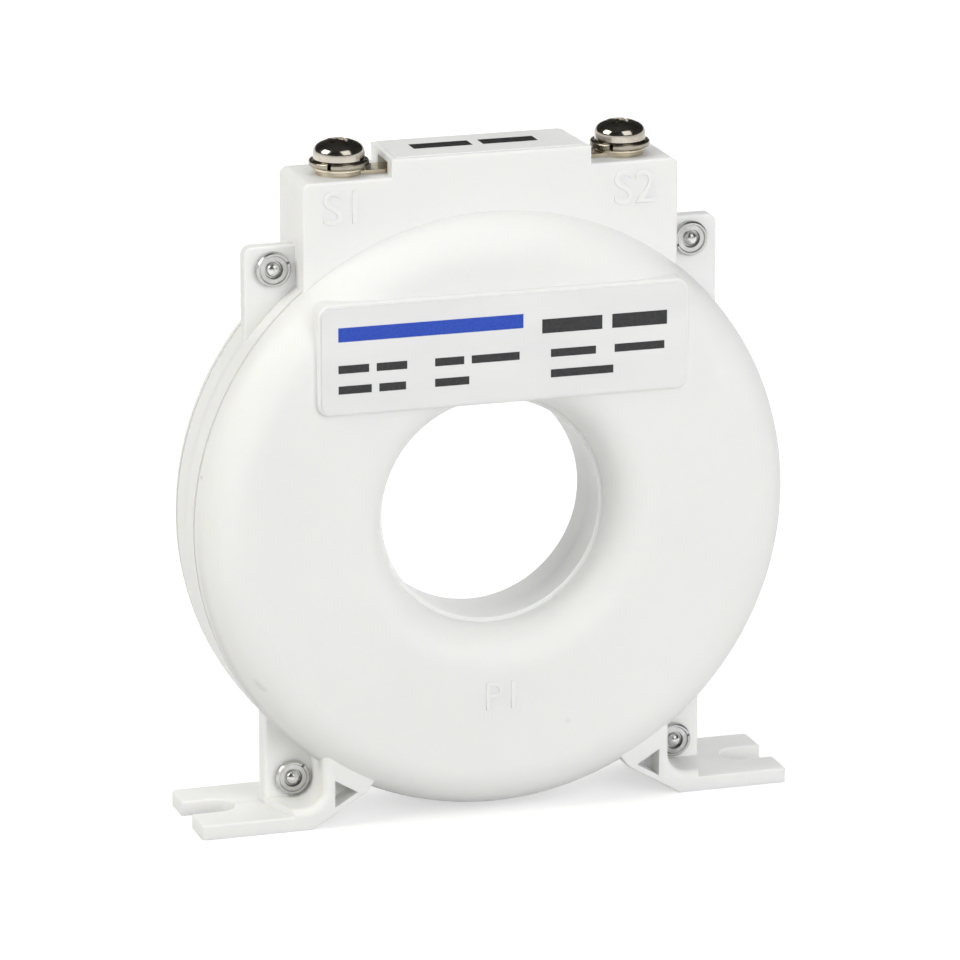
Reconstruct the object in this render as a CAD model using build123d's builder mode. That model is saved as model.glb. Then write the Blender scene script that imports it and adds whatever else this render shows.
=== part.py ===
import os
from math import asin, cos, radians, sin, sqrt

from build123d import *

os.makedirs("parts", exist_ok=True)

# Ring of the case, mm
RING_R = 47.1
RING_CLEAR = 0.6
FACE_Y = 11.8
OUTER_ROUND = 7.0
WALL = 1.8
GROOVE_Y = 5.0
GROOVE_W = 0.7
GROOVE_D = 0.5

# Window for the conductor
BORE_R = 17.5
LEDGE_Y = 5.3
MOUTH_STEP = 0.7
MOUTH_ROUND = 6.2

# Terminal block
BLOCK_X = 29.8
BLOCK_Y = 6.0
BLOCK_REAR_Y = 7.2
BLOCK_RISE = 6.15
BLOCK_DROP = 16.8
BLOCK_CORNER = 1.2
BLOCK_EDGE = 0.4
LEDGE_WALL = 1.95
CHAMBER_DROP = 9.0
RAISED_FRONT_X = 15.8
RAISED_TAPER = 0.6
RAISED_H = 2.8
RAISED_WALL = 1.9

# Lugs
LUG_T = 1.3
LUG_REACH = 7.95
LUG_DROP = 10.35
LUG_ROOT = 4.0
LUG_CORNER = 1.5
EDGE = 0.3

# Feet
FOOT_Y = 9.4
FOOT_T = 2.3
FOOT_LENGTH = 17.7
FOOT_CORNER = 0.8
SLOT_R = 3.0
SLOT_DEPTH = 7.5
PLATE_T = 1.8
PLATE_REACH = 5.7
PLATE_H = 20.0
PLATE_EDGE = 0.5
GUSSET_TOP = 3.1
GUSSET_REACH = 10.5
GUSSET_TIP = 8.6
GUSSET_H = 15.0
RECESS_NEAR = 3.4
RECESS_FAR = 7.05
RECESS_H = 4.35
RECESS_LOW = 3.15
RECESS_D = 3.6

# Rivets
RIVET_UP_INSET = 4.4
RIVET_UP_DROP = 3.5
RIVET_LOW_OUT = 1.4
RIVET_LOW_Z = 6.4
RIVET_CLEAR = 5.93
RIVET_HOLE_R = 1.65
RIVET_SHANK_R = 1.6
RIVET_BORE_R = 0.9
RIVET_FLANGE_R = 2.8
RIVET_RING_R = 2.75
RIVET_SPLIT_W = 0.45
MANDREL_R = 1.1
POCKET_R = 3.1
POCKET_EDGE = 1.2

# Label pad and labels
PAD_X = 29.5
PAD_H = 17.4
PAD_GAP = 0.4
PAD_PROUD = 0.85
PAD_CORNER = 2.0
PAD_EDGE = 0.4
LABEL_T = 0.2
LABEL_MARGIN = 0.5

# Terminals
TERMINAL_X = 22.4
TAB_T = 0.6
TAB_HALF_W = 2.3
TAB_EYE_R = 3.6
TAB_INSET = 1.2
TAB_DROP = 4.15
TAB_DROP_T = 0.8
TAB_HOLE_R = 2.3
TAB_SLOT_H = 1.8
TAB_SLOT_HALF_W = 3.0
CLAMP_R = 4.0
CLAMP_T = 0.6
SPRING_R = 4.6
SPRING_T = 1.0
SPRING_GAP = 0.6
HEAD_R = 3.95
HEAD_SIDE = 0.93
HEAD_SHOULDER = 1.7
HEAD_TURN = 63.0
CROSS_W = 1.15
CROSS_L = 4.6
CROSS_D = 1.7
CROSS_END_W = 0.55
CROSS_END_L = 2.7
NECK_R = 1.7
NECK_HOLE_R = 1.75
THREAD_R = 2.0
NUT_THREAD_R = 2.05
SCREW_LENGTH = 10.0
NUT_SIDE = 7.0
NUT_H = 3.2
NUT_GAP = 0.1
NUT_CHEEK = 1.6
NUT_SHELF = 2.3

# Core and winding
CORE_SHARE = 0.553
WIRE_SHARE = 0.1186
RIB_H = 1.0
RIB_L = 9.0
RIB_W = 1.6
CAP_WALL = 1.0
WIRE_FACE = 2.5
PACK_ROUND = 3.0
WINDING_GAP = 9.0
LEAD_R = 0.7
LEAD_Y = 1.2
LEAD_RUN = 3.2
LEAD_BEND = 1.9
LEAD_END_DROP = 3.15

# Places that follow from the sizes
RING_Z = RING_R + RING_CLEAR
RING_PLANE = Plane.XY.offset(RING_Z)
RING_AXIS = Axis((0, 0, RING_Z), (0, 1, 0))
MOUTH_R = BORE_R + MOUTH_STEP
CAVITY_IN = MOUTH_R + WALL
CAVITY_OUT = RING_R - WALL
LEDGE_Z = RING_Z + RING_R + BLOCK_RISE
BLOCK_LOW = RING_Z + RING_R - BLOCK_DROP
RAISED_Z = LEDGE_Z + RAISED_H
RAISED_REAR_X = RAISED_FRONT_X - RAISED_TAPER
RAISED_MID_X = RAISED_FRONT_X - RAISED_TAPER / 2
RAISED_WALL_X = RAISED_MID_X - RAISED_WALL
LUG_OUT = BLOCK_X + LUG_REACH
LUG_TOP = LEDGE_Z - LUG_DROP
RIVET_UP = (LUG_OUT - RIVET_UP_INSET, LUG_TOP - RIVET_UP_DROP)
RIVET_LOW = (sqrt(RING_R ** 2 - (RING_Z - RIVET_LOW_Z - RIVET_CLEAR) ** 2), RIVET_LOW_Z)
FOOT_IN = RIVET_LOW[0] - RIVET_LOW_OUT
FOOT_OUT = FOOT_IN + FOOT_LENGTH
PLATE_OUT = FOOT_IN + PLATE_REACH
GUSSET_OUT = FOOT_IN + GUSSET_TOP
SLOT_X = FOOT_OUT - SLOT_DEPTH + SLOT_R
POCKET_X = RIVET_LOW[0] - POCKET_R
POCKET_Z = RIVET_LOW[1] - POCKET_R
PAD_Z = RING_Z + MOUTH_R + PAD_GAP + PAD_H / 2
PAD_Y = FACE_Y + PAD_PROUD
NUT_TOP = LEDGE_Z - LEDGE_WALL
TAB_TOP = LEDGE_Z + TAB_T
TAB_DROP_X = RAISED_WALL_X - TAB_INSET
CLAMP_TOP = TAB_TOP + CLAMP_T
HEAD_Z = CLAMP_TOP + SPRING_T
PACK_Y = FACE_Y - WALL - RIB_H
CORE_Y = PACK_Y - WIRE_FACE - CAP_WALL
CORE_MID = (CAVITY_IN + CAVITY_OUT) / 2
CORE_W = CORE_SHARE * (CAVITY_OUT - CAVITY_IN)
WIRE_SIDE = WIRE_SHARE * (CAVITY_OUT - CAVITY_IN)
CORE_OUT = CORE_MID + CORE_W / 2


def ring_band(profile, mode=Mode.ADD):
    """Adds or cuts a body of revolution about the window's axis."""
    revolve(profile, axis=RING_AXIS, mode=mode)


def ring_profile():
    """Half section of the solid ring, front half, with flared window and rounded rim."""
    mouth_y = FACE_Y - MOUTH_ROUND
    rim_y = FACE_Y - OUTER_ROUND
    with BuildSketch(RING_PLANE) as section:
        with BuildLine():
            Polyline(
                (RING_R, -rim_y),
                (RING_R, 0),
                (BORE_R, 0),
                (BORE_R, -LEDGE_Y),
                (MOUTH_R, -LEDGE_Y),
                (MOUTH_R, -mouth_y),
            )
            CenterArc((MOUTH_R + MOUTH_ROUND, -mouth_y), MOUTH_ROUND, 180, 90)
            Line((MOUTH_R + MOUTH_ROUND, -FACE_Y), (RING_R - OUTER_ROUND, -FACE_Y))
            CenterArc((RING_R - OUTER_ROUND, -rim_y), OUTER_ROUND, 270, 90)
        make_face()
    return section.sketch


def cavity_profile():
    """Half section of the annular space for the core and winding, front half."""
    mouth_y = FACE_Y - MOUTH_ROUND
    rim_y = FACE_Y - OUTER_ROUND
    mouth_in = MOUTH_ROUND - WALL
    rim_in = OUTER_ROUND - WALL
    floor_y = FACE_Y - WALL
    with BuildSketch(RING_PLANE) as section:
        with BuildLine():
            Polyline((CAVITY_OUT, -rim_y), (CAVITY_OUT, 1), (CAVITY_IN, 1), (CAVITY_IN, -mouth_y))
            CenterArc((CAVITY_IN + mouth_in, -mouth_y), mouth_in, 180, 90)
            Line((CAVITY_IN + mouth_in, -floor_y), (RING_R - OUTER_ROUND, -floor_y))
            CenterArc((RING_R - OUTER_ROUND, -rim_y), rim_in, 270, 90)
        make_face()
    return section.sketch


def groove_profile():
    """Section of the shallow shadow groove round the rim."""
    with BuildSketch(RING_PLANE) as section:
        with Locations((RING_R, -GROOVE_Y)):
            Rectangle(2 * GROOVE_D, GROOVE_W)
    return section.sketch


def terminal_block(depth):
    """Half of the terminal block with softened front edges."""
    with BuildPart() as block:
        with BuildSketch(Plane.XZ) as outline:
            with Locations((0, (BLOCK_LOW + LEDGE_Z) / 2)):
                Rectangle(2 * BLOCK_X, LEDGE_Z - BLOCK_LOW)
            fillet(outline.vertices().group_by(Axis.Y)[-1], BLOCK_CORNER)
        extrude(amount=depth)
        fillet(block.faces().sort_by(Axis.Y)[0].edges(), BLOCK_EDGE)
    return block.part


def raised_block(face_x, depth):
    """Half of the raised middle of the terminal block, tapering from front to rear."""
    with BuildPart() as raised:
        with BuildSketch(Plane.XY.offset(LEDGE_Z - BLOCK_RISE)):
            with BuildLine():
                Polyline(
                    (-RAISED_MID_X, 0),
                    (RAISED_MID_X, 0),
                    (face_x, -depth),
                    (-face_x, -depth),
                    close=True,
                )
            make_face()
        extrude(amount=RAISED_H + BLOCK_RISE)
        front = raised.faces().sort_by(Axis.Y)[0]
        fillet(front.edges().group_by(Axis.Z)[-1], BLOCK_EDGE)
    return raised.part


def upper_lug():
    """Half of the right-hand lug beside the terminal block."""
    with BuildPart() as lug:
        with BuildSketch(Plane.XZ) as outline:
            with Locations(((BLOCK_X - LUG_ROOT + LUG_OUT) / 2, (RING_Z + LUG_TOP) / 2)):
                Rectangle(LUG_REACH + LUG_ROOT, LUG_TOP - RING_Z)
            fillet(outline.vertices().group_by(Axis.Y)[-1].sort_by(Axis.X)[-1], LUG_CORNER)
        extrude(amount=LUG_T)
        fillet(lug.faces().sort_by(Axis.Y)[0].edges(), EDGE)
    return lug.part


def slotted_foot():
    """Half of the right-hand foot with its open slot."""
    with BuildPart() as foot:
        with BuildSketch(Plane.XY) as outline:
            with Locations(((FOOT_IN + FOOT_OUT) / 2, -FOOT_Y / 2)):
                Rectangle(FOOT_LENGTH, FOOT_Y)
            fillet(outline.vertices().group_by(Axis.X)[-1].sort_by(Axis.Y)[0], FOOT_CORNER)
            with Locations((SLOT_X, 0)):
                Circle(SLOT_R, mode=Mode.SUBTRACT)
            with Locations((SLOT_X + SLOT_DEPTH / 2, 0)):
                Rectangle(SLOT_DEPTH, 2 * SLOT_R, mode=Mode.SUBTRACT)
        extrude(amount=FOOT_T)
        top = foot.faces().sort_by(Axis.Z)[-1]
        fillet([edge for edge in top.edges() if edge.center().Y < -EDGE / 2], EDGE)
    return foot.part


def gusset():
    """Half of the right-hand gusset, with a rounded pocket for the rivet and a three-cornered recess."""
    tip_x = FOOT_IN - GUSSET_REACH
    with BuildPart() as web:
        with BuildSketch(Plane.XZ):
            with BuildLine():
                Polyline(
                    (POCKET_X, RIVET_LOW[1]),
                    (POCKET_X, GUSSET_H),
                    (tip_x, GUSSET_TIP),
                    (tip_x + 0.9, GUSSET_TIP - 2.0),
                    (tip_x + 2.1, GUSSET_TIP - 3.6),
                    (FOOT_IN, 0),
                    (PLATE_OUT, 0),
                    (PLATE_OUT, POCKET_Z),
                    (RIVET_LOW[0], POCKET_Z),
                )
                CenterArc(RIVET_LOW, POCKET_R, 180, 90)
            make_face()
        extrude(amount=FOOT_Y)
        # Outer side slants back to the plate
        with BuildSketch(Plane.XY):
            with BuildLine():
                Polyline(
                    (GUSSET_OUT, -FOOT_Y),
                    (PLATE_OUT, -PLATE_T),
                    (PLATE_OUT + PLATE_T, -PLATE_T),
                    (PLATE_OUT + PLATE_T, -FOOT_Y - PLATE_T),
                    (GUSSET_OUT, -FOOT_Y - PLATE_T),
                    close=True,
                )
            make_face()
        extrude(amount=2 * POCKET_Z, mode=Mode.SUBTRACT)
        rim = web.faces().sort_by(Axis.Y)[0].edges().filter_by(lambda edge: edge.center().X > POCKET_X - EDGE)
        fillet(rim.filter_by(lambda edge: edge.center().Z > FOOT_T), POCKET_EDGE)
        rim = web.faces().sort_by(Axis.Y)[0].edges().filter_by(lambda edge: edge.center().X < POCKET_X - EDGE)
        fillet(rim.filter_by(lambda edge: edge.center().Z < GUSSET_TIP), EDGE)
        with BuildSketch(Plane.XZ.offset(FOOT_Y)):
            with BuildLine():
                Polyline(
                    (FOOT_IN - RECESS_NEAR, RECESS_LOW + RECESS_H),
                    (FOOT_IN - RECESS_FAR, RECESS_LOW + RECESS_H / 2),
                    (FOOT_IN - RECESS_NEAR, RECESS_LOW),
                    close=True,
                )
            make_face()
        extrude(amount=-RECESS_D, mode=Mode.SUBTRACT)
    return web.part


def foot_plate():
    """Upright plate from the foot to the ring, behind the lower rivet."""
    with BuildPart() as plate:
        with BuildSketch(Plane.XZ):
            with BuildLine():
                Polyline(
                    (FOOT_IN, 0),
                    (PLATE_OUT, 0),
                    (PLATE_OUT, PLATE_H),
                    (POCKET_X - WALL, PLATE_H),
                    (POCKET_X - WALL, POCKET_Z),
                    close=True,
                )
            make_face()
        extrude(amount=PLATE_T)
        front = plate.faces().sort_by(Axis.Y)[0]
        fillet(front.edges().sort_by(Axis.X)[-1], PLATE_EDGE)
    return plate.part


def side_fixings():
    """Right-hand lug, foot plate, slotted foot and gusset of the front half."""
    with BuildPart() as side:
        add(upper_lug())
        add(foot_plate())
        add(slotted_foot())
        add(gusset())
        with BuildSketch(Plane.XZ):
            with Locations(RIVET_UP, RIVET_LOW):
                Circle(RIVET_HOLE_R)
        extrude(amount=2 * PLATE_T, mode=Mode.SUBTRACT)
    return side.part


def label_pad():
    """Flat pad that carries the rating label above the window."""
    with BuildPart() as pad:
        with BuildSketch(Plane.XZ.offset(BLOCK_Y)):
            with Locations((0, PAD_Z)):
                RectangleRounded(2 * PAD_X, PAD_H, PAD_CORNER)
        extrude(amount=PAD_Y - BLOCK_Y)
        fillet(pad.faces().sort_by(Axis.Y)[0].edges(), PAD_EDGE)
    return pad.part


def half_case(face_x, depth, pad):
    """One hollow half of the case, drawn as the front half."""
    side = side_fixings()
    with BuildPart() as half:
        ring_band(ring_profile())
        ring_band(groove_profile(), Mode.SUBTRACT)
        add(terminal_block(depth))
        add(raised_block(face_x, depth))
        add(side)
        add(mirror(side, about=Plane.YZ))
        if pad:
            add(label_pad())
        # Space for the core and winding, and the terminal chamber above it
        ring_band(cavity_profile(), Mode.SUBTRACT)
        chamber_y = depth - WALL
        chamber_low = RING_Z + CAVITY_OUT - CHAMBER_DROP
        with Locations((0, -chamber_y / 2, (chamber_low + NUT_TOP) / 2)):
            Box(2 * (BLOCK_X - WALL), chamber_y, NUT_TOP - chamber_low, mode=Mode.SUBTRACT)
        with Locations((0, -chamber_y / 2, (NUT_TOP - 1 + RAISED_Z - WALL) / 2)):
            Box(2 * RAISED_WALL_X, chamber_y, RAISED_Z - WALL - NUT_TOP + 1, mode=Mode.SUBTRACT)
        # Nut pockets: two cheeks and a shelf under each terminal
        nut_low = NUT_TOP - NUT_H
        cheek = NUT_SIDE / 2 + NUT_GAP
        shelf_out = BLOCK_X - WALL
        shelf_in = TERMINAL_X - cheek - NUT_CHEEK
        for hand in (-1, 1):
            with Locations((hand * (shelf_in + shelf_out) / 2, -chamber_y / 2, nut_low - NUT_SHELF / 2)):
                Box(shelf_out - shelf_in, chamber_y, NUT_SHELF)
            with Locations((hand * (shelf_in + NUT_CHEEK / 2), -chamber_y / 2, nut_low + NUT_H / 2)):
                Box(NUT_CHEEK, chamber_y, NUT_H)
            with Locations((hand * (TERMINAL_X + cheek + shelf_out) / 2, -chamber_y / 2, nut_low + NUT_H / 2)):
                Box(shelf_out - TERMINAL_X - cheek, chamber_y, NUT_H)
            with Locations((hand * TERMINAL_X, 0, NUT_TOP)):
                Cylinder(TAB_HOLE_R, 2 * SCREW_LENGTH, mode=Mode.SUBTRACT)
            with Locations((hand * RAISED_MID_X, -TAB_SLOT_HALF_W / 2, LEDGE_Z + TAB_SLOT_H / 2)):
                Box(4 * RAISED_WALL, TAB_SLOT_HALF_W, TAB_SLOT_H, mode=Mode.SUBTRACT)
        # Ribs that locate the wound core
        floor_y = FACE_Y - WALL
        for angle in range(0, 360, 60):
            outwards = (cos(radians(angle)), 0, sin(radians(angle)))
            with BuildSketch(Plane(origin=(0, -PACK_Y, RING_Z), x_dir=outwards, z_dir=(0, -1, 0))):
                with Locations((CORE_MID, 0)):
                    Rectangle(RIB_L, RIB_W)
            extrude(amount=floor_y - PACK_Y)
    return half.part


def dome_arc(rim, crown_y, radius):
    """Arc from the rim of a round head to its crown, with its centre on the head's axis."""
    rise = abs(crown_y - rim[1])
    bow = (radius ** 2 + rise ** 2) / (2 * rise)
    up = 1 if crown_y > rim[1] else -1
    half_x = bow * sin(asin(radius / bow) / 2)
    half_y = crown_y - up * (bow - sqrt(bow ** 2 - half_x ** 2))
    ThreePointArc(rim, (half_x, half_y), (0, crown_y))


def rivet_sleeve(centre, plate_t, split_angle):
    """Set blind rivet: flange behind, rolled and split ring in front."""
    x, z = centre
    front = -plate_t
    rear = plate_t
    turn = radians(split_angle)
    outwards = (cos(turn), 0, sin(turn))
    with BuildPart() as sleeve:
        with BuildSketch(Plane(origin=(x, 0, z), x_dir=outwards, z_dir=(-sin(turn), 0, cos(turn)))):
            with BuildLine():
                Polyline(
                    (RIVET_BORE_R, front - 0.35),
                    (RIVET_BORE_R, rear + 0.9),
                    (RIVET_SHANK_R, rear + 0.9),
                    (RIVET_FLANGE_R - 0.3, rear + 0.5),
                    (RIVET_FLANGE_R, rear + 0.2),
                    (RIVET_FLANGE_R, rear),
                    (RIVET_SHANK_R, rear),
                    (RIVET_SHANK_R, front),
                    (RIVET_RING_R - 0.2, front),
                    (RIVET_RING_R, front - 0.35),
                    (RIVET_RING_R - 0.05, front - 0.85),
                    (RIVET_RING_R - 0.25, front - 1.1),
                    (RIVET_RING_R - 0.5, front - 1.1),
                    (RIVET_RING_R - 0.65, front - 0.85),
                    (RIVET_RING_R - 1.3, front - 0.9),
                    (RIVET_RING_R - 1.45, front - 0.35),
                    close=True,
                )
            make_face()
        revolve(axis=Axis((x, 0, z), (0, 1, 0)))
        with BuildSketch(Plane(origin=(x, front - 0.45, z), x_dir=outwards, z_dir=(0, -1, 0))):
            with Locations((RIVET_RING_R, 0)):
                Rectangle(1.2, RIVET_SPLIT_W)
        extrude(amount=2, mode=Mode.SUBTRACT)
    return sleeve.part


def rivet_mandrel(centre, plate_t):
    """Broken-off mandrel left in a blind rivet, with its round head in front."""
    x, z = centre
    front = -plate_t
    with BuildPart() as mandrel:
        with BuildSketch(Plane.XY.offset(z).shift_origin((x, 0, z))):
            with BuildLine():
                Polyline(
                    (0, front - 1.45),
                    (0, plate_t + 0.5),
                    (RIVET_BORE_R, plate_t + 0.5),
                    (RIVET_BORE_R, front - 0.35),
                    (MANDREL_R, front - 0.35),
                    (MANDREL_R, front - 0.8),
                )
                dome_arc((MANDREL_R, front - 0.8), front - 1.45, MANDREL_R)
            make_face()
        revolve(axis=Axis((x, 0, z), (0, 1, 0)))
    return mandrel.part


def mirrored_x(point):
    return (-point[0], point[1])


def terminal_screw(hand):
    """Pan-head terminal screw with a cross recess and a plain neck for its captive washers."""
    turn = radians(HEAD_TURN)
    shoulder = (
        HEAD_R - HEAD_SHOULDER + HEAD_SHOULDER * cos(turn),
        HEAD_Z + HEAD_SIDE + HEAD_SHOULDER * sin(turn),
    )
    crown_z = shoulder[1] + shoulder[0] / cos(turn) * (1 - sin(turn))
    with BuildPart() as screw:
        with BuildSketch(Plane.XZ):
            with BuildLine():
                Polyline(
                    (0, crown_z),
                    (0, HEAD_Z - SCREW_LENGTH),
                    (THREAD_R - 0.5, HEAD_Z - SCREW_LENGTH),
                    (THREAD_R, HEAD_Z - SCREW_LENGTH + 0.5),
                    (THREAD_R, TAB_TOP - 0.1),
                    (NECK_R, TAB_TOP - 0.1),
                    (NECK_R, HEAD_Z),
                    (HEAD_R - 0.15, HEAD_Z),
                    (HEAD_R, HEAD_Z + 0.15),
                    (HEAD_R, HEAD_Z + HEAD_SIDE),
                )
                CenterArc((HEAD_R - HEAD_SHOULDER, HEAD_Z + HEAD_SIDE), HEAD_SHOULDER, 0, HEAD_TURN)
                dome_arc(shoulder, crown_z, shoulder[0])
            make_face()
        revolve(axis=Axis.Z)
        # Cross recess, narrowing to its end
        for angle in (40, 130):
            with BuildSketch(Plane.XY.offset(crown_z)):
                Rectangle(CROSS_L, CROSS_W, rotation=angle)
            with BuildSketch(Plane.XY.offset(crown_z - CROSS_D)):
                Rectangle(CROSS_END_L, CROSS_END_W, rotation=angle)
            loft(mode=Mode.SUBTRACT)
    return Pos(hand * TERMINAL_X, 0, 0) * screw.part


def spring_washer(hand):
    """Split spring washer under the screw head."""
    with BuildPart() as washer:
        with Locations((0, 0, CLAMP_TOP)):
            Cylinder(SPRING_R, SPRING_T, align=(Align.CENTER, Align.CENTER, Align.MIN))
            Cylinder(NECK_HOLE_R, SPRING_T, align=(Align.CENTER, Align.CENTER, Align.MIN), mode=Mode.SUBTRACT)
        fillet(washer.edges().filter_by(GeomType.CIRCLE).group_by(SortBy.RADIUS)[-1], 0.35)
        with Locations((0, -SPRING_R / 2 - 1, CLAMP_TOP + SPRING_T / 2)):
            Box(SPRING_GAP, SPRING_R, 2 * SPRING_T, mode=Mode.SUBTRACT)
    return Location((hand * TERMINAL_X, 0, 0), (0, 0, -35)) * washer.part


def clamp_washer(hand):
    """Plain washer that clamps the conductor on the tab."""
    with BuildPart() as washer:
        with Locations((hand * TERMINAL_X, 0, TAB_TOP)):
            Cylinder(CLAMP_R, CLAMP_T, align=(Align.CENTER, Align.CENTER, Align.MIN))
            Cylinder(NECK_HOLE_R, CLAMP_T, align=(Align.CENTER, Align.CENTER, Align.MIN), mode=Mode.SUBTRACT)
        fillet(washer.edges().filter_by(GeomType.CIRCLE).group_by(SortBy.RADIUS)[-1], 0.2)
    return washer.part


def terminal_tab(hand):
    """Flat tab on the ledge, bent down inside the block to meet its lead."""
    with BuildPart() as tab:
        with BuildSketch(Plane.XY.offset(LEDGE_Z)):
            with Locations((hand * (TAB_DROP_X + TERMINAL_X) / 2, 0)):
                Rectangle(TERMINAL_X - TAB_DROP_X, 2 * TAB_HALF_W)
            with Locations((hand * TERMINAL_X, 0)):
                Circle(TAB_EYE_R)
                Circle(TAB_HOLE_R, mode=Mode.SUBTRACT)
        extrude(amount=TAB_T)
        with Locations((hand * (TAB_DROP_X + TAB_DROP_T / 2), 0, LEDGE_Z + (TAB_T - TAB_DROP) / 2)):
            Box(TAB_DROP_T, 2 * TAB_HALF_W, TAB_T + TAB_DROP)
    return tab.part


def core_cap():
    """Front half of the insulating cover round the core."""
    with BuildPart() as cap:
        with BuildSketch(RING_PLANE) as section:
            with Locations((CORE_MID, -(CORE_Y + CAP_WALL) / 2)):
                Rectangle(CORE_W + 2 * CAP_WALL, CORE_Y + CAP_WALL)
            with Locations((CORE_MID, -CORE_Y / 2)):
                Rectangle(CORE_W, CORE_Y, mode=Mode.SUBTRACT)
        revolve(axis=RING_AXIS)
    return cap.part


def lead(hand):
    """Insulated lead from one end of the winding up to its terminal tab."""
    angle = radians(90 - WINDING_GAP)
    radius = CORE_OUT + CAP_WALL + WIRE_SIDE / 2
    side_y = -hand * LEAD_Y
    start = Vector(hand * radius * cos(angle), side_y, RING_Z + radius * sin(angle))
    leave = Vector(-hand * sin(angle), 0, cos(angle))
    turn = start + leave * LEAD_RUN
    end_z = LEDGE_Z - LEAD_END_DROP
    with BuildPart() as wire:
        with BuildLine() as path:
            FilletPolyline(
                start,
                turn,
                (turn.X, side_y, end_z),
                (hand * TAB_DROP_X, side_y, end_z),
                radius=LEAD_BEND,
            )
        with BuildSketch(Plane(origin=start, z_dir=leave)):
            Circle(LEAD_R)
        sweep(path=path.line)
    return wire.part


with BuildPart() as front_shell:
    add(half_case(RAISED_FRONT_X, BLOCK_Y, True))

with BuildPart() as rear_shell:
    add(mirror(half_case(RAISED_REAR_X, BLOCK_REAR_Y, False), about=Plane.XZ))

with BuildPart() as rating_label:
    with BuildSketch(Plane.XZ.offset(PAD_Y)):
        with Locations((0, PAD_Z)):
            RectangleRounded(2 * (PAD_X - LABEL_MARGIN), PAD_H - 2 * LABEL_MARGIN, PAD_CORNER - LABEL_MARGIN)
    extrude(amount=LABEL_T)

with BuildPart() as top_label:
    with BuildSketch(Plane.XY.offset(RAISED_Z)):
        with BuildLine():
            Polyline(
                (0.7 - RAISED_REAR_X, BLOCK_REAR_Y - 0.9),
                (RAISED_REAR_X - 0.7, BLOCK_REAR_Y - 0.9),
                (RAISED_FRONT_X - 0.9, 1.0 - BLOCK_Y),
                (0.9 - RAISED_FRONT_X, 1.0 - BLOCK_Y),
                close=True,
            )
        make_face()
    extrude(amount=LABEL_T)

with BuildPart() as rivet_sleeves:
    add(rivet_sleeve(mirrored_x(RIVET_UP), LUG_T, 26))
    add(rivet_sleeve(RIVET_UP, LUG_T, 200))
    add(rivet_sleeve(mirrored_x(RIVET_LOW), PLATE_T, 50))
    add(rivet_sleeve(RIVET_LOW, PLATE_T, 17))

with BuildPart() as rivet_mandrels:
    add(rivet_mandrel(mirrored_x(RIVET_UP), LUG_T))
    add(rivet_mandrel(RIVET_UP, LUG_T))
    add(rivet_mandrel(mirrored_x(RIVET_LOW), PLATE_T))
    add(rivet_mandrel(RIVET_LOW, PLATE_T))

with BuildPart() as terminal_screw_s1:
    add(terminal_screw(-1))

with BuildPart() as terminal_screw_s2:
    add(terminal_screw(1))

with BuildPart() as spring_washer_s1:
    add(spring_washer(-1))

with BuildPart() as spring_washer_s2:
    add(spring_washer(1))

with BuildPart() as clamp_washer_s1:
    add(clamp_washer(-1))

with BuildPart() as clamp_washer_s2:
    add(clamp_washer(1))

with BuildPart() as terminal_tab_s1:
    add(terminal_tab(-1))

with BuildPart() as terminal_tab_s2:
    add(terminal_tab(1))

with BuildPart() as terminal_nuts:
    with Locations((-TERMINAL_X, 0, NUT_TOP - NUT_H / 2), (TERMINAL_X, 0, NUT_TOP - NUT_H / 2)):
        Box(NUT_SIDE, NUT_SIDE, NUT_H)
        Cylinder(NUT_THREAD_R, NUT_H, mode=Mode.SUBTRACT)

with BuildPart() as core:
    with BuildSketch(RING_PLANE):
        with Locations((CORE_MID, 0)):
            Rectangle(CORE_W, 2 * CORE_Y)
    revolve(axis=RING_AXIS)

with BuildPart() as core_cap_front:
    add(core_cap())

with BuildPart() as core_cap_rear:
    add(mirror(core_cap(), about=Plane.XZ))

with BuildPart() as winding:
    edge_angle = radians(90 - WINDING_GAP)
    outwards = (cos(edge_angle), 0, sin(edge_angle))
    with BuildSketch(Plane((0, 0, RING_Z), x_dir=outwards, z_dir=(-sin(edge_angle), 0, cos(edge_angle)))):
        with Locations((CORE_MID, 0)):
            RectangleRounded(CORE_W + 2 * CAP_WALL + 2 * WIRE_SIDE, 2 * PACK_Y, PACK_ROUND)
            Rectangle(CORE_W + 2 * CAP_WALL, 2 * (CORE_Y + CAP_WALL), mode=Mode.SUBTRACT)
    revolve(axis=RING_AXIS, revolution_arc=360 - 2 * WINDING_GAP)

with BuildPart() as lead_s1:
    add(lead(-1))

with BuildPart() as lead_s2:
    add(lead(1))

front_shell.part.label = "front_shell"
export_step(front_shell.part, "parts/front_shell.step")
rear_shell.part.label = "rear_shell"
export_step(rear_shell.part, "parts/rear_shell.step")
rating_label.part.label = "rating_label"
export_step(rating_label.part, "parts/rating_label.step")
top_label.part.label = "top_label"
export_step(top_label.part, "parts/top_label.step")
rivet_sleeves.part.label = "rivet_sleeves"
export_step(rivet_sleeves.part, "parts/rivet_sleeves.step")
rivet_mandrels.part.label = "rivet_mandrels"
export_step(rivet_mandrels.part, "parts/rivet_mandrels.step")
terminal_screw_s1.part.label = "terminal_screw_s1"
export_step(terminal_screw_s1.part, "parts/terminal_screw_s1.step")
terminal_screw_s2.part.label = "terminal_screw_s2"
export_step(terminal_screw_s2.part, "parts/terminal_screw_s2.step")
spring_washer_s1.part.label = "spring_washer_s1"
export_step(spring_washer_s1.part, "parts/spring_washer_s1.step")
spring_washer_s2.part.label = "spring_washer_s2"
export_step(spring_washer_s2.part, "parts/spring_washer_s2.step")
clamp_washer_s1.part.label = "clamp_washer_s1"
export_step(clamp_washer_s1.part, "parts/clamp_washer_s1.step")
clamp_washer_s2.part.label = "clamp_washer_s2"
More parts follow.
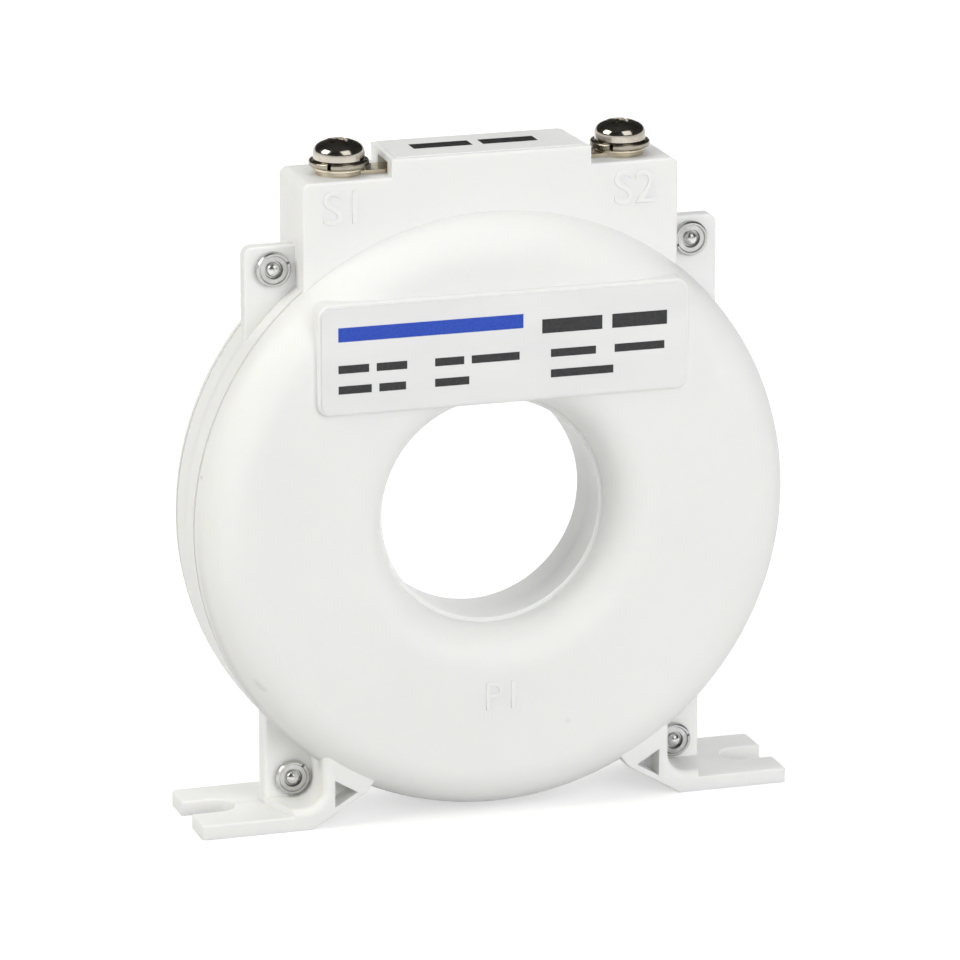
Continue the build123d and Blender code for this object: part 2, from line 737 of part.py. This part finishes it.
export_step(clamp_washer_s2.part, "parts/clamp_washer_s2.step")
terminal_tab_s1.part.label = "terminal_tab_s1"
export_step(terminal_tab_s1.part, "parts/terminal_tab_s1.step")
terminal_tab_s2.part.label = "terminal_tab_s2"
export_step(terminal_tab_s2.part, "parts/terminal_tab_s2.step")
terminal_nuts.part.label = "terminal_nuts"
export_step(terminal_nuts.part, "parts/terminal_nuts.step")
core.part.label = "core"
export_step(core.part, "parts/core.step")
core_cap_front.part.label = "core_cap_front"
export_step(core_cap_front.part, "parts/core_cap_front.step")
core_cap_rear.part.label = "core_cap_rear"
export_step(core_cap_rear.part, "parts/core_cap_rear.step")
winding.part.label = "winding"
export_step(winding.part, "parts/winding.step")
lead_s1.part.label = "lead_s1"
export_step(lead_s1.part, "parts/lead_s1.step")
lead_s2.part.label = "lead_s2"
export_step(lead_s2.part, "parts/lead_s2.step")
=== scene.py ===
import math

import bmesh
import bpy
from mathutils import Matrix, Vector


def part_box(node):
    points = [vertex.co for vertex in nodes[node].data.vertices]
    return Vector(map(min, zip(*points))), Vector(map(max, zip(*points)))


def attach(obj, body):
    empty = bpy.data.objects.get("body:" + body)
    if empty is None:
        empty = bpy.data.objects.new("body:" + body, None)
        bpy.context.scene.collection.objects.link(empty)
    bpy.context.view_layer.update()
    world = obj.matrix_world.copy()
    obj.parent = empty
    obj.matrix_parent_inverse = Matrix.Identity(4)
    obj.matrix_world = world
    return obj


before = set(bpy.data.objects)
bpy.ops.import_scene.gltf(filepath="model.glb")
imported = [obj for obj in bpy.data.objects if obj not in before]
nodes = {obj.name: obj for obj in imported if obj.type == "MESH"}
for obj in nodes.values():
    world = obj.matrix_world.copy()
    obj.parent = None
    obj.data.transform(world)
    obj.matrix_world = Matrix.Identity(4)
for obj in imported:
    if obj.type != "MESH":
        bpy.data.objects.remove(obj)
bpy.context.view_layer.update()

MM = 0.001

# Camera
CAMERA_AZIMUTH = -17.562
CAMERA_ELEVATION = 15.787
CAMERA_DISTANCE = 1020.089 * MM
CAMERA_TARGET = Vector((-0.026, 0.0, 50.763)) * MM
CAMERA_LENS = 248.14
CAMERA_SENSOR = 36.0
CAMERA_NEAR = 0.01

# Studio, in metres
WORLD_LEVEL = 0.285
FLOOR_COLOUR = 0.6
FLOOR_LIFT = 0.55
FLOOR_REACH = 4.0
FLOOR_GAP = 0.02 * MM
HOOD_COLOUR = 0.07
HOOD_SIZE = (3.4, 3.4, 1.2)
HOOD_LOW = 0.3
LAMP_AIM = (0.0, 0.0, 0.05)
LOW_LAMP_AIM = (0.0, 0.0, 0.03)
WHITE = (1.0, 1.0, 1.0)
WARM_WHITE = (1.0, 0.99, 0.92)

# Faces of the case and its labels, in millimetres
label_low, label_high = (corner / MM for corner in map(Vector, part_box("rating_label")))
LABEL_FACE_Y = label_low.y
LABEL_TOP = label_high.z
TOP_LABEL_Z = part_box("top_label")[1][2] / MM
BLOCK_FACE_Y = -6.0
RING_FACE_Y = -11.8
RING_Z = 47.7

# Part of a noise's range that holds most of its values
NOISE_LOW = 0.3
NOISE_HIGH = 0.7

# Small scuffs on the case: place and reach in millimetres, and how grey they are
SCUFFS = [
    ((-38.8, -9.65, 24.75), 0.7, 0.25),
    ((-38.3, -9.85, 24.1), 0.75, 0.3),
    ((-37.7, -10.05, 23.5), 0.7, 0.35),
    ((10.5, -11.8, 14.5), 0.6, 0.25),
    ((-46.1, -6.1, 56.7), 0.45, 0.7),
]
# Grey for the scuffs, and for the painted shade along the ring's joint
SCUFF_AND_SHADE_GREY = (0.5, 0.5, 0.48, 1.0)
SCUFF_GRAIN = 1800.0
SCUFF_GAIN = 2.0

# Soft shade along the lower part of the ring's joint, in millimetres
JOINT_R = 46.95
JOINT_Y = -6.6
JOINT_REACH = 1.7
JOINT_FADE_Z = 55.0
JOINT_FULL_Z = 22.0
JOINT_SHADE = 0.5

# White plastic of the case
CASE_DARK = (0.848, 0.85, 0.837)
CASE_LIGHT = (0.87, 0.871, 0.861)
CASE_GLOSS = 0.25
CASE_GLOW = 0.3
GLOW_RADIUS = (1.0, 0.92, 0.6)
GLOW_SCALE = 1.4 * MM

# Label film
FILM_DARK = (0.785, 0.79, 0.788)
FILM_LIGHT = (0.832, 0.834, 0.83)
FILM_STRETCH = (1.0, 1.0, 2.5)

# Relief heights
CASE_RELIEF = 0.02 * MM
FILM_RELIEF = 0.008 * MM
METAL_RELIEF = 0.004 * MM
PLAIN_RELIEF = 0.02 * MM


def new_material(name, roughness, metallic=0.0):
    """A node material with its Principled shader."""
    material = bpy.data.materials.new(name)
    material.use_nodes = True
    shader = material.node_tree.nodes["Principled BSDF"]
    shader.inputs["Roughness"].default_value = roughness
    shader.inputs["Metallic"].default_value = metallic
    return material, material.node_tree, shader


def noise(tree, scale, detail=2.0, stretch=(1.0, 1.0, 1.0)):
    """Noise in the object's own metres."""
    place = tree.nodes.new("ShaderNodeTexCoord")
    mapping = tree.nodes.new("ShaderNodeMapping")
    mapping.inputs["Scale"].default_value = stretch
    texture = tree.nodes.new("ShaderNodeTexNoise")
    texture.inputs["Scale"].default_value = scale
    texture.inputs["Detail"].default_value = detail
    tree.links.new(place.outputs["Object"], mapping.inputs["Vector"])
    tree.links.new(mapping.outputs["Vector"], texture.inputs["Vector"])
    return texture.outputs["Fac"]


def ranged(tree, value, from_low, from_high, to_low, to_high):
    """Maps a value from one range to another, held at its ends."""
    node = tree.nodes.new("ShaderNodeMapRange")
    node.inputs["From Min"].default_value = from_low
    node.inputs["From Max"].default_value = from_high
    node.inputs["To Min"].default_value = to_low
    node.inputs["To Max"].default_value = to_high
    tree.links.new(value, node.inputs["Value"])
    return node.outputs["Result"]


def spread(tree, value, low, high):
    """Maps noise from its middle range to low and high."""
    return ranged(tree, value, NOISE_LOW, NOISE_HIGH, low, high)


def tint(tree, value, dark, light):
    """A colour between dark and light, by a noise value."""
    ramp = tree.nodes.new("ShaderNodeValToRGB")
    ramp.color_ramp.elements[0].position = NOISE_LOW
    ramp.color_ramp.elements[0].color = (*dark, 1.0)
    ramp.color_ramp.elements[1].position = NOISE_HIGH
    ramp.color_ramp.elements[1].color = (*light, 1.0)
    tree.links.new(value, ramp.inputs["Fac"])
    return ramp.outputs["Color"]


def calculated(tree, operation, first, second, clamp=False):
    """One step of arithmetic on two values."""
    node = tree.nodes.new("ShaderNodeMath")
    node.operation = operation
    node.use_clamp = clamp
    tree.links.new(first, node.inputs[0])
    tree.links.new(second, node.inputs[1])
    return node.outputs["Value"]


def bump(tree, shader, height, distance):
    """Adds relief from a height value to the shader."""
    relief = tree.nodes.new("ShaderNodeBump")
    relief.inputs["Distance"].default_value = distance
    relief.inputs["Strength"].default_value = 1.0
    tree.links.new(height, relief.inputs["Height"])
    tree.links.new(relief.outputs["Normal"], shader.inputs["Normal"])


def paired(tree, first, second):
    """Two values as a flat vector."""
    node = tree.nodes.new("ShaderNodeCombineXYZ")
    tree.links.new(first, node.inputs["X"])
    tree.links.new(second, node.inputs["Y"])
    return node.outputs["Vector"]


def distance_to(tree, place, target):
    """Distance from a place to a fixed point, which is given in millimetres."""
    node = tree.nodes.new("ShaderNodeVectorMath")
    node.operation = "DISTANCE"
    node.inputs[1].default_value = Vector(target) * MM
    tree.links.new(place, node.inputs[0])
    return node.outputs["Value"]


def greyed(tree, colour, share):
    """The colour, mixed by a share with the grey of the scuffs and of the painted joint shade."""
    blend = tree.nodes.new("ShaderNodeMixRGB")
    blend.inputs["Color2"].default_value = SCUFF_AND_SHADE_GREY
    tree.links.new(share, blend.inputs["Fac"])
    tree.links.new(colour, blend.inputs["Color1"])
    return blend.outputs["Color"]


def scuffed(tree, colour):
    """The colour, greyed at the scuffs, with ragged edges."""
    place = tree.nodes.new("ShaderNodeTexCoord")
    ragged = noise(tree, SCUFF_GRAIN, 3.0)
    for centre, reach, strength in SCUFFS:
        away = distance_to(tree, place.outputs["Object"], centre)
        near = ranged(tree, away, reach * MM, 0.0, 0.0, SCUFF_GAIN * strength)
        colour = greyed(tree, colour, calculated(tree, "MULTIPLY", near, ragged, clamp=True))
    return colour


def shaded_joint(tree, colour):
    """The colour, with a painted shade along the joint round the ring, more so towards the feet."""
    place = tree.nodes.new("ShaderNodeTexCoord")
    parts = tree.nodes.new("ShaderNodeSeparateXYZ")
    tree.links.new(place.outputs["Object"], parts.inputs["Vector"])
    x, y, z = (parts.outputs[axis] for axis in "XYZ")
    radius = distance_to(tree, paired(tree, x, z), (0.0, RING_Z, 0.0))
    away = distance_to(tree, paired(tree, radius, y), (JOINT_R, JOINT_Y, 0.0))
    near = ranged(tree, away, JOINT_REACH * MM, 0.0, 0.0, 1.0)
    low = ranged(tree, z, JOINT_FADE_Z * MM, JOINT_FULL_Z * MM, 0.0, JOINT_SHADE)
    return greyed(tree, colour, calculated(tree, "MULTIPLY", near, low))


def case_plastic(name, glow):
    """White moulded plastic: fine spark grain, slow waviness, a faint warm drift in colour."""
    material, tree, shader = new_material(name, 0.42)
    white = tint(tree, noise(tree, 35.0, 3.0), CASE_DARK, CASE_LIGHT)
    # Base colour: random tone, then scuffs, then a painted shade along the ring's joint
    tree.links.new(shaded_joint(tree, scuffed(tree, white)), shader.inputs["Base Color"])
    tree.links.new(spread(tree, noise(tree, 260.0, 3.0), 0.38, 0.48), shader.inputs["Roughness"])
    grain = spread(tree, noise(tree, 3200.0, 2.0), 0.0, 0.25)
    waves = spread(tree, noise(tree, 90.0, 1.0), 0.0, 1.0)
    bump(tree, shader, calculated(tree, "ADD", grain, waves), CASE_RELIEF)
    shader.inputs["Specular IOR Level"].default_value = CASE_GLOSS
    shader.inputs["Subsurface Weight"].default_value = glow
    shader.inputs["Subsurface Radius"].default_value = GLOW_RADIUS
    shader.inputs["Subsurface Scale"].default_value = GLOW_SCALE
    return material


def label_film():
    """Silver-white printed film with a soft sheen."""
    material, tree, shader = new_material("label_film", 0.4)
    cloud = noise(tree, 60.0, 2.0, FILM_STRETCH)
    tree.links.new(tint(tree, cloud, FILM_DARK, FILM_LIGHT), shader.inputs["Base Color"])
    tree.links.new(spread(tree, noise(tree, 900.0, 2.0), 0.34, 0.46), shader.inputs["Roughness"])
    bump(tree, shader, noise(tree, 1500.0, 2.0), FILM_RELIEF)
    return material


def ink(name, dark, light):
    """Printing ink, slightly uneven in cover."""
    material, tree, shader = new_material(name, 0.5)
    tree.links.new(tint(tree, noise(tree, 2400.0, 3.0), dark, light), shader.inputs["Base Color"])
    tree.links.new(spread(tree, noise(tree, 800.0), 0.42, 0.56), shader.inputs["Roughness"])
    return material


def metal(name, dark, light, rough_low, rough_high):
    """Plated or plain metal with fine handling marks and uneven polish."""
    material, tree, shader = new_material(name, rough_low, 1.0)
    polish = spread(tree, noise(tree, 700.0, 4.0), rough_low, rough_high)
    tree.links.new(tint(tree, noise(tree, 420.0, 4.0), dark, light), shader.inputs["Base Color"])
    tree.links.new(polish, shader.inputs["Roughness"])
    bump(tree, shader, noise(tree, 2600.0, 3.0), METAL_RELIEF)
    return material


def plain(name, dark, light, rough_low, rough_high, scale):
    """A non-metal inner piece with a little grain."""
    material, tree, shader = new_material(name, rough_low)
    sheen = spread(tree, noise(tree, scale * 2, 2.0), rough_low, rough_high)
    tree.links.new(tint(tree, noise(tree, scale, 3.0), dark, light), shader.inputs["Base Color"])
    tree.links.new(sheen, shader.inputs["Roughness"])
    bump(tree, shader, noise(tree, scale * 4, 2.0), PLAIN_RELIEF)
    return material


CASE = case_plastic("case_plastic", CASE_GLOW)
MARK = case_plastic("mark_plastic", 0.0)
FILM = label_film()
BLUE = ink("blue_ink", (0.012, 0.055, 0.42), (0.018, 0.075, 0.5))
BLACK = ink("dark_ink", (0.012, 0.012, 0.014), (0.03, 0.03, 0.032))
NICKEL = metal("nickel_plate", (0.46, 0.42, 0.36), (0.62, 0.58, 0.51), 0.1, 0.18)
SPRING = metal("spring_steel", (0.3, 0.27, 0.22), (0.46, 0.42, 0.35), 0.22, 0.34)
WASHER = metal("washer_plate", (0.58, 0.5, 0.37), (0.72, 0.65, 0.52), 0.14, 0.26)
ALUMINIUM = metal("rivet_aluminium", (0.5, 0.5, 0.49), (0.64, 0.64, 0.63), 0.26, 0.4)
ZINC = metal("mandrel_zinc", (0.66, 0.66, 0.65), (0.8, 0.8, 0.8), 0.2, 0.32)
CORE_STEEL = metal("core_strip", (0.3, 0.3, 0.31), (0.42, 0.42, 0.43), 0.35, 0.5)
COPPER = metal("enamelled_copper", (0.5, 0.2, 0.09), (0.68, 0.3, 0.15), 0.25, 0.4)
CAPS = plain("core_cap_plastic", (0.03, 0.03, 0.032), (0.05, 0.05, 0.052), 0.45, 0.6, 300.0)
SLEEVE = plain("lead_sleeve", (0.05, 0.05, 0.055), (0.08, 0.08, 0.085), 0.5, 0.65, 500.0)

FINISHES = {
    "front_shell": CASE,
    "rear_shell": CASE,
    "rating_label": FILM,
    "top_label": FILM,
    "rivet_sleeves": ALUMINIUM,
    "rivet_mandrels": ZINC,
    "terminal_screw_s1": NICKEL,
    "terminal_screw_s2": NICKEL,
    "spring_washer_s1": SPRING,
    "spring_washer_s2": SPRING,
    "clamp_washer_s1": WASHER,
    "clamp_washer_s2": WASHER,
    "terminal_tab_s1": WASHER,
    "terminal_tab_s2": WASHER,
    "terminal_nuts": ZINC,
    "core": CORE_STEEL,
    "core_cap_front": CAPS,
    "core_cap_rear": CAPS,
    "winding": COPPER,
    "lead_s1": SLEEVE,
    "lead_s2": SLEEVE,
}
for node, finish in FINISHES.items():
    nodes[node].data.materials.clear()
    nodes[node].data.materials.append(finish)


def keep(piece, material, body="case"):
    """Finishes a piece and lets it ride on its body."""
    piece.data.materials.clear()
    piece.data.materials.append(material)
    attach(piece, body)
    return piece


def add_mesh(name, mesh):
    """Turns an edited mesh into an object of the scene."""
    data = bpy.data.meshes.new(name)
    mesh.to_mesh(data)
    mesh.free()
    piece = bpy.data.objects.new(name, data)
    bpy.context.collection.objects.link(piece)
    return piece


# Print on the labels, in millimetres: a plain blue strip and rows of dark bars
INK = 0.03
STRIP = (-26.4, 2.8, LABEL_TOP - 5.3, LABEL_TOP - 3.1)
TITLE_LOW = LABEL_TOP - 6.4
TITLE_HEIGHT = 2.2
TITLE_BARS = [(5.8, 15.4), (17.0, 25.8)]
ROW_HEIGHT = 1.25
UPPER_ROW_LOW = LABEL_TOP - 10.2
UPPER_ROW_BARS = [
    (-26.4, -21.6), (-20.4, -15.6), (-11.2, -6.6), (-5.4, 2.2), (7.2, 14.4), (17.4, 25.4),
]
LOWER_ROW_LOW = LABEL_TOP - 13.4
LOWER_ROW_BARS = [(-26.4, -21.2), (-20.0, -15.8), (-11.2, -5.8), (7.2, 17.2)]
TOP_ROW_LOW = -0.6
TOP_ROW_HEIGHT = 3.0
TOP_ROW_BARS = [(-10.7, -1.4), (0.3, 9.0)]


def row(bars, low, height):
    """Fields for a row of bars, each as left, right, low and top."""
    return [(left, right, low, low + height) for left, right in bars]


def label_face(x, z, lift):
    """A place on the rating label, lifted off its face."""
    return Vector((x, LABEL_FACE_Y - lift, z)) * MM


def top_face(x, y, lift):
    """A place on the top label, lifted off its face."""
    return Vector((x, y, TOP_LABEL_Z + lift)) * MM


def printed(name, fields, face, material):
    """Flat fields of print as thin closed films on a face."""
    mesh = bmesh.new()
    for left, right, low, top in fields:
        corners = [(left, low), (right, low), (right, top), (left, top)]
        under = [mesh.verts.new(face(u, v, 0.0)) for u, v in corners]
        over = [mesh.verts.new(face(u, v, INK)) for u, v in corners]
        mesh.faces.new(list(reversed(under)))
        mesh.faces.new(over)
        for i in range(4):
            j = (i + 1) % 4
            mesh.faces.new([under[i], under[j], over[j], over[i]])
    bmesh.ops.recalc_face_normals(mesh, faces=mesh.faces)
    return keep(add_mesh(name, mesh), material)


bars = row(TITLE_BARS, TITLE_LOW, TITLE_HEIGHT)
bars += row(UPPER_ROW_BARS, UPPER_ROW_LOW, ROW_HEIGHT)
bars += row(LOWER_ROW_BARS, LOWER_ROW_LOW, ROW_HEIGHT)
printed("label_blue_strip", [STRIP], label_face, BLUE)
printed("label_print", bars, label_face, BLACK)
printed("top_label_print", row(TOP_ROW_BARS, TOP_ROW_LOW, TOP_ROW_HEIGHT), top_face, BLACK)

# Raised marks on the case, in millimetres
BLOCK_MARK_Z = 96.6
BLOCK_MARK_HEIGHT = 5.2
RING_MARK_Z = 19.3
RING_MARK_HEIGHT = 4.4
MARK_RISE = 0.09
MARK_ROUND = 0.07
MARK_THINNING = 0.06
CAPITAL_SHARE = 0.7


def moulded_mark(name, text, place, height):
    """Small raised mark on a front face."""
    letters = bpy.data.curves.new(name, "FONT")
    letters.body = text
    letters.size = height / CAPITAL_SHARE * MM
    letters.align_x = "CENTER"
    letters.align_y = "CENTER"
    letters.extrude = MARK_RISE * MM
    letters.bevel_depth = MARK_ROUND * MM
    letters.bevel_resolution = 2
    letters.offset = -MARK_THINNING * MM
    piece = bpy.data.objects.new(name, letters)
    piece.location = Vector(place) * MM
    piece.rotation_euler = (math.pi / 2, 0.0, 0.0)
    bpy.context.collection.objects.link(piece)
    return keep(piece, MARK)


moulded_mark("mark_s1", "S1", (-23.4, BLOCK_FACE_Y, BLOCK_MARK_Z), BLOCK_MARK_HEIGHT)
moulded_mark("mark_s2", "S2", (22.8, BLOCK_FACE_Y, BLOCK_MARK_Z), BLOCK_MARK_HEIGHT)
moulded_mark("mark_p1", "P1", (0.0, RING_FACE_Y, RING_MARK_Z), RING_MARK_HEIGHT)


def add_camera():
    """Camera that looks at the middle of the object from a little above."""
    azimuth = math.radians(CAMERA_AZIMUTH)
    elevation = math.radians(CAMERA_ELEVATION)
    back = Vector((
        math.sin(azimuth) * math.cos(elevation),
        -math.cos(azimuth) * math.cos(elevation),
        math.sin(elevation),
    ))
    data = bpy.data.cameras.new("camera")
    data.sensor_width = CAMERA_SENSOR
    data.lens = CAMERA_LENS
    data.clip_start = CAMERA_NEAR
    camera = bpy.data.objects.new("camera", data)
    camera.location = CAMERA_TARGET + back * CAMERA_DISTANCE
    camera.rotation_euler = back.to_track_quat("Z", "Y").to_euler()
    bpy.context.collection.objects.link(camera)
    bpy.context.scene.camera = camera


def add_lamp(name, place, aim, size, power, colour=WHITE, mirrored=True):
    """Soft rectangular lamp; one that isn't mirrored leaves no patch on polished metal."""
    data = bpy.data.lights.new(name, "AREA")
    data.shape = "RECTANGLE"
    data.size, data.size_y = size
    data.energy = power
    data.color = colour
    lamp = bpy.data.objects.new(name, data)
    lamp.location = place
    lamp.rotation_euler = (Vector(place) - Vector(aim)).to_track_quat("Z", "Y").to_euler()
    lamp.visible_glossy = mirrored
    bpy.context.collection.objects.link(lamp)


def seen_or_mirrored(tree):
    """One for rays from the camera, reflections and glass, nought for light that falls on the object."""
    path = tree.nodes.new("ShaderNodeLightPath")
    most = path.outputs["Is Camera Ray"]
    for name in ("Is Glossy Ray", "Is Transmission Ray"):
        most = calculated(tree, "MAXIMUM", most, path.outputs[name])
    return most


def add_world():
    """Even white surroundings, dimmer as a source of light than they look."""
    world = bpy.data.worlds.new("studio")
    world.use_nodes = True
    tree = world.node_tree
    background = tree.nodes["Background"]
    background.inputs["Color"].default_value = (*WHITE, 1.0)
    level = ranged(tree, seen_or_mirrored(tree), 0.0, 1.0, WORLD_LEVEL, 1.0)
    tree.links.new(level, background.inputs["Strength"])
    bpy.context.scene.world = world


def add_floor():
    """Pale floor that reads white where it is fully lit and keeps the object's shadow."""
    mesh = bmesh.new()
    bmesh.ops.create_grid(mesh, x_segments=1, y_segments=1, size=FLOOR_REACH)
    floor = add_mesh("floor", mesh)
    floor.location = (0.0, 0.0, -FLOOR_GAP)
    material, tree, shader = new_material("floor_white", 0.8)
    shader.inputs["Base Color"].default_value = (FLOOR_COLOUR, FLOOR_COLOUR, FLOOR_COLOUR, 1.0)
    shader.inputs["Emission Color"].default_value = (*WHITE, 1.0)
    lift = ranged(tree, seen_or_mirrored(tree), 0.0, 1.0, 0.0, FLOOR_LIFT)
    tree.links.new(lift, shader.inputs["Emission Strength"])
    floor.data.materials.append(material)


def add_hood():
    """Unlit walls and ceiling of the studio, which only polished metal mirrors."""
    mesh = bmesh.new()
    bmesh.ops.create_cube(mesh, size=1.0)
    bottom = [face for face in mesh.faces if face.normal.z < -0.5]
    bmesh.ops.delete(mesh, geom=bottom, context="FACES_ONLY")
    hood = add_mesh("hood", mesh)
    hood.scale = HOOD_SIZE
    hood.location = (0.0, 0.0, HOOD_LOW + HOOD_SIZE[2] / 2)
    hood.visible_camera = False
    hood.visible_diffuse = False
    hood.visible_transmission = False
    hood.visible_shadow = False
    material, _, shader = new_material("hood_black", 0.9)
    shader.inputs["Base Color"].default_value = (HOOD_COLOUR, HOOD_COLOUR, HOOD_COLOUR, 1.0)
    hood.data.materials.append(material)


add_camera()
add_world()
add_floor()
add_hood()
add_lamp("right_softbox", (0.37, -0.96, 0.85), LAMP_AIM, (0.8, 0.95), 3.6)
add_lamp("left_softbox", (-1.06, -0.04, 0.81), LAMP_AIM, (0.65, 0.7), 8.0, WARM_WHITE)
add_lamp("top", (-0.1, 0.0, 1.25), LAMP_AIM, (0.9, 0.9), 1.6, mirrored=False)
add_lamp("front_fill", (-0.32, -1.0, 0.35), LAMP_AIM, (0.7, 0.7), 1.9, mirrored=False)
add_lamp("right_fill", (0.55, -0.95, 0.22), LOW_LAMP_AIM, (0.6, 0.4), 3.3, mirrored=False)
add_lamp("rear_fill", (0.35, 1.0, 0.6), LAMP_AIM, (0.8, 0.8), 7.0, mirrored=False)

bpy.context.scene.view_settings.view_transform = "Standard"
